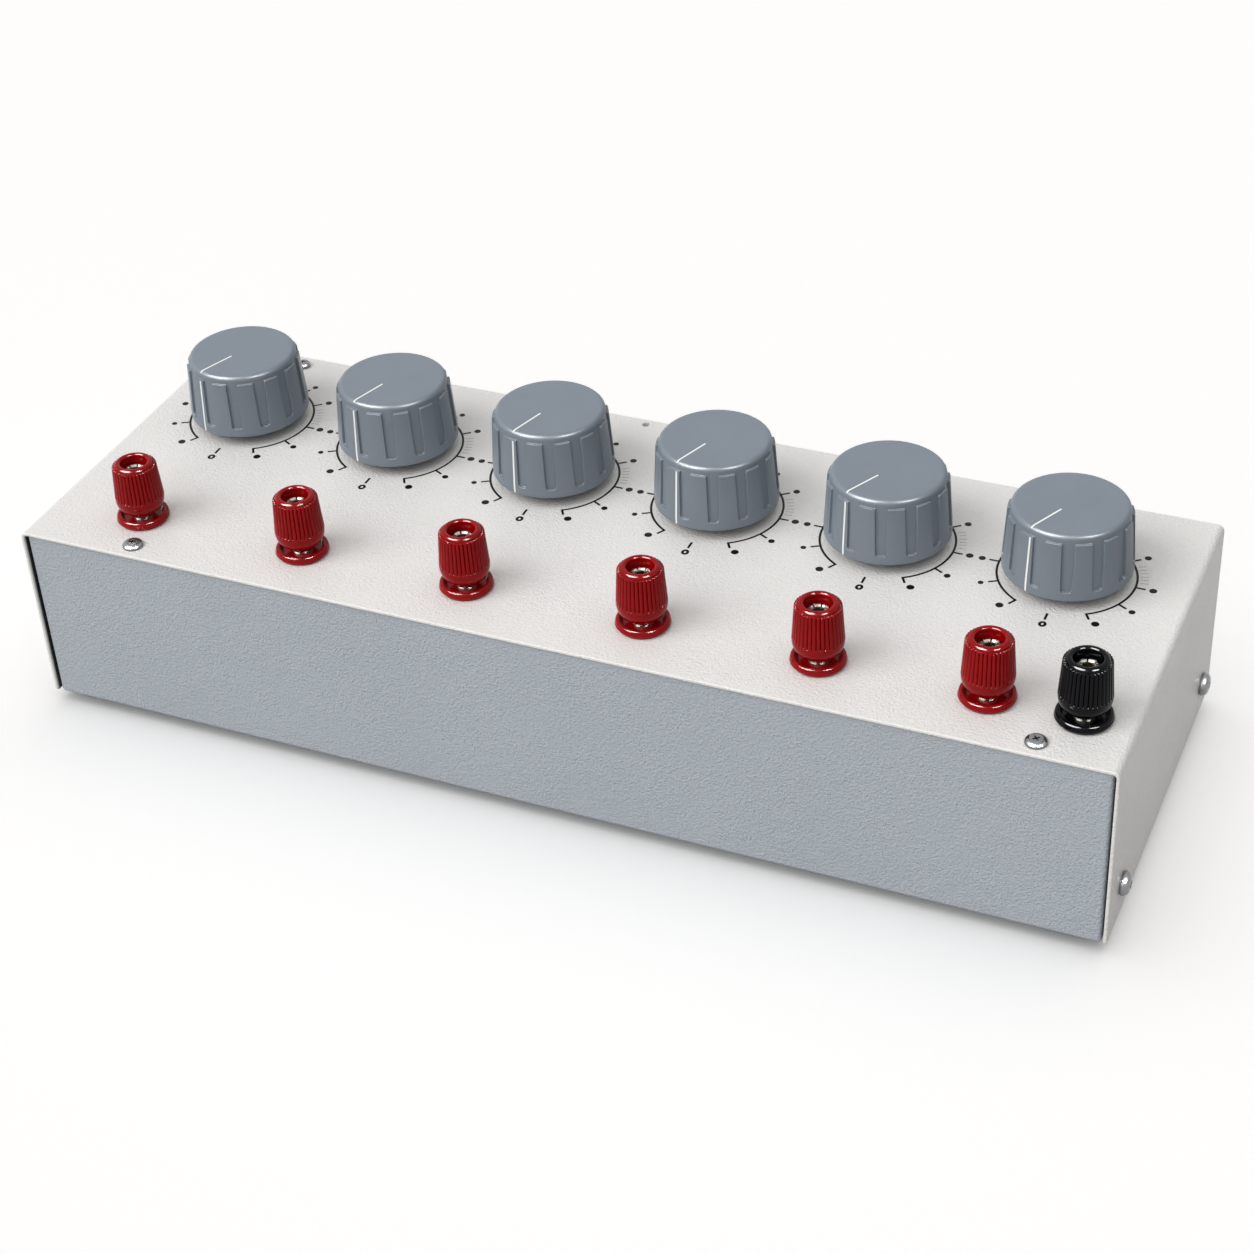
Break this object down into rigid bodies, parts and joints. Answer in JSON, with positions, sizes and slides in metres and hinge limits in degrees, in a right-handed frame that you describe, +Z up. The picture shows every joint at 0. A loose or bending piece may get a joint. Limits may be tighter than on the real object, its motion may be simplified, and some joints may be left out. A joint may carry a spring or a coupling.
{
  "type": "decade resistance box",
  "caption": "Bench resistance box: folded steel case, rotary decade switches with fluted knobs in a row, and screw terminals with 4 mm sockets along the front.",
  "frame": {"origin": "on the bench, under the middle of the box", "axes": "+X along the box to the black terminal's end, +Y to its back, +Z up"},
  "size_m": [0.3858, 0.136, 0.0994],
  "materials": {
    "cover_paint": "off-white powder coat with a fine texture",
    "base_paint": "blue-grey powder coat with a fine texture",
    "screw_chrome": "nickel-plated",
    "zinc_steel": "zinc-plated",
    "foot_rubber": "matt black",
    "brass": "plain",
    "wafer_board": "brown laminate",
    "resistor_body": "lacquered",
    "socket_chrome": "nickel-plated",
    "red_moulding": "glossy red",
    "black_moulding": "glossy black",
    "knob_plastic": "satin blue-grey",
    "tinned_wire": "tinned copper"
  },
  "bodies": {
    "root": {"top_cover": "cover_paint", "base_chassis": "base_paint", "front_top_screws": "screw_chrome", "rear_top_screws": "screw_chrome", "side_screws": "screw_chrome", "clinch_nuts": "zinc_steel", "rubber_feet": "foot_rubber", "foot_screws": "zinc_steel", "foot_nuts": "zinc_steel", "switch_housings": "zinc_steel", "bush_nuts": "brass", "bush_washers": "zinc_steel", "switch_wafers": "wafer_board", "tie_bolts": "zinc_steel", "wafer_spacers": "brass", "wafer_lugs": "brass", "resistors": "resistor_body", "post_studs": "socket_chrome", "post_bushes": "black_moulding", "post_washers": "zinc_steel", "solder_tags": "brass", "post_nuts": "brass", "post_flanges_red": "red_moulding", "post_flange_black": "black_moulding", "hook_up_wires": "tinned_wire"},
    "decade_1": {"knob_1": "knob_plastic", "knob_grub_screw_1": "zinc_steel", "switch_shaft_1": "zinc_steel"},
    "decade_2": {"knob_2": "knob_plastic", "knob_grub_screw_2": "zinc_steel", "switch_shaft_2": "zinc_steel"},
    "decade_3": {"knob_3": "knob_plastic", "knob_grub_screw_3": "zinc_steel", "switch_shaft_3": "zinc_steel"},
    "decade_4": {"knob_4": "knob_plastic", "knob_grub_screw_4": "zinc_steel", "switch_shaft_4": "zinc_steel"},
    "decade_5": {"knob_5": "knob_plastic", "knob_grub_screw_5": "zinc_steel", "switch_shaft_5": "zinc_steel"},
    "decade_6": {"knob_6": "knob_plastic", "knob_grub_screw_6": "zinc_steel", "switch_shaft_6": "zinc_steel"},
    "clamp_1": {"post_clamp_1": "socket_chrome"},
    "cap_1": {"post_cap_1": "red_moulding"},
    "clamp_2": {"post_clamp_2": "socket_chrome"},
    "cap_2": {"post_cap_2": "red_moulding"},
    "clamp_3": {"post_clamp_3": "socket_chrome"},
    "cap_3": {"post_cap_3": "red_moulding"},
    "clamp_4": {"post_clamp_4": "socket_chrome"},
    "cap_4": {"post_cap_4": "red_moulding"},
    "clamp_5": {"post_clamp_5": "socket_chrome"},
    "cap_5": {"post_cap_5": "red_moulding"},
    "clamp_6": {"post_clamp_6": "socket_chrome"},
    "cap_6": {"post_cap_6": "red_moulding"},
    "clamp_7": {"post_clamp_7": "socket_chrome"},
    "cap_7": {"post_cap_7": "black_moulding"}
  },
  "joints": [
    {"name": "knob_turn_1", "type": "hinge", "parent": "root", "child": "decade_1", "pos_m": [-0.1521, 0.0241, 0.0722], "axis": [0, 0, 1], "range_deg": [-330, 0]},
    {"name": "knob_turn_2", "type": "hinge", "parent": "root", "child": "decade_2", "pos_m": [-0.0919, 0.0241, 0.0722], "axis": [0, 0, 1], "range_deg": [-330, 0]},
    {"name": "knob_turn_3", "type": "hinge", "parent": "root", "child": "decade_3", "pos_m": [-0.0317, 0.0241, 0.0722], "axis": [0, 0, 1], "range_deg": [-330, 0]},
    {"name": "knob_turn_4", "type": "hinge", "parent": "root", "child": "decade_4", "pos_m": [0.0285, 0.0241, 0.0722], "axis": [0, 0, 1], "range_deg": [-330, 0]},
    {"name": "knob_turn_5", "type": "hinge", "parent": "root", "child": "decade_5", "pos_m": [0.0887, 0.0241, 0.0722], "axis": [0, 0, 1], "range_deg": [-330, 0]},
    {"name": "knob_turn_6", "type": "hinge", "parent": "root", "child": "decade_6", "pos_m": [0.1489, 0.0241, 0.0722], "axis": [0, 0, 1], "range_deg": [-330, 0]},
    {"name": "post_lift_1", "type": "slide", "parent": "root", "child": "clamp_1", "axis": [0, 0, 1], "range_m": [-0.0012, 0.004]},
    {"name": "post_turn_1", "type": "hinge", "parent": "clamp_1", "child": "cap_1", "pos_m": [-0.1541, -0.0461, 0.0722], "axis": [0, 0, 1], "range_deg": [-432, 1440]},
    {"name": "post_lift_2", "type": "slide", "parent": "root", "child": "clamp_2", "axis": [0, 0, 1], "range_m": [-0.0012, 0.004]},
    {"name": "post_turn_2", "type": "hinge", "parent": "clamp_2", "child": "cap_2", "pos_m": [-0.092, -0.0461, 0.0722], "axis": [0, 0, 1], "range_deg": [-432, 1440]},
    {"name": "post_lift_3", "type": "slide", "parent": "root", "child": "clamp_3", "axis": [0, 0, 1], "range_m": [-0.0012, 0.004]},
    {"name": "post_turn_3", "type": "hinge", "parent": "clamp_3", "child": "cap_3", "pos_m": [-0.0311, -0.0461, 0.0722], "axis": [0, 0, 1], "range_deg": [-432, 1440]},
    {"name": "post_lift_4", "type": "slide", "parent": "root", "child": "clamp_4", "axis": [0, 0, 1], "range_m": [-0.0012, 0.004]},
    {"name": "post_turn_4", "type": "hinge", "parent": "clamp_4", "child": "cap_4", "pos_m": [0.0311, -0.0461, 0.0722], "axis": [0, 0, 1], "range_deg": [-432, 1440]},
    {"name": "post_lift_5", "type": "slide", "parent": "root", "child": "clamp_5", "axis": [0, 0, 1], "range_m": [-0.0012, 0.004]},
    {"name": "post_turn_5", "type": "hinge", "parent": "clamp_5", "child": "cap_5", "pos_m": [0.0898, -0.0461, 0.0722], "axis": [0, 0, 1], "range_deg": [-432, 1440]},
    {"name": "post_lift_6", "type": "slide", "parent": "root", "child": "clamp_6", "axis": [0, 0, 1], "range_m": [-0.0012, 0.004]},
    {"name": "post_turn_6", "type": "hinge", "parent": "clamp_6", "child": "cap_6", "pos_m": [0.1436, -0.0461, 0.0722], "axis": [0, 0, 1], "range_deg": [-432, 1440]},
    {"name": "post_lift_7", "type": "slide", "parent": "root", "child": "clamp_7", "axis": [0, 0, 1], "range_m": [-0.0012, 0.004]},
    {"name": "post_turn_7", "type": "hinge", "parent": "clamp_7", "child": "cap_7", "pos_m": [0.1733, -0.0461, 0.0722], "axis": [0, 0, 1], "range_deg": [-432, 1440]}
  ],
  "couplings": [
    {"joint": "post_lift_1", "follows": "post_turn_1", "m_per_rad": 0.00015915},
    {"joint": "post_lift_2", "follows": "post_turn_2", "m_per_rad": 0.00015915},
    {"joint": "post_lift_3", "follows": "post_turn_3", "m_per_rad": 0.00015915},
    {"joint": "post_lift_4", "follows": "post_turn_4", "m_per_rad": 0.00015915},
    {"joint": "post_lift_5", "follows": "post_turn_5", "m_per_rad": 0.00015915},
    {"joint": "post_lift_6", "follows": "post_turn_6", "m_per_rad": 0.00015915},
    {"joint": "post_lift_7", "follows": "post_turn_7", "m_per_rad": 0.00015915}
  ]
}
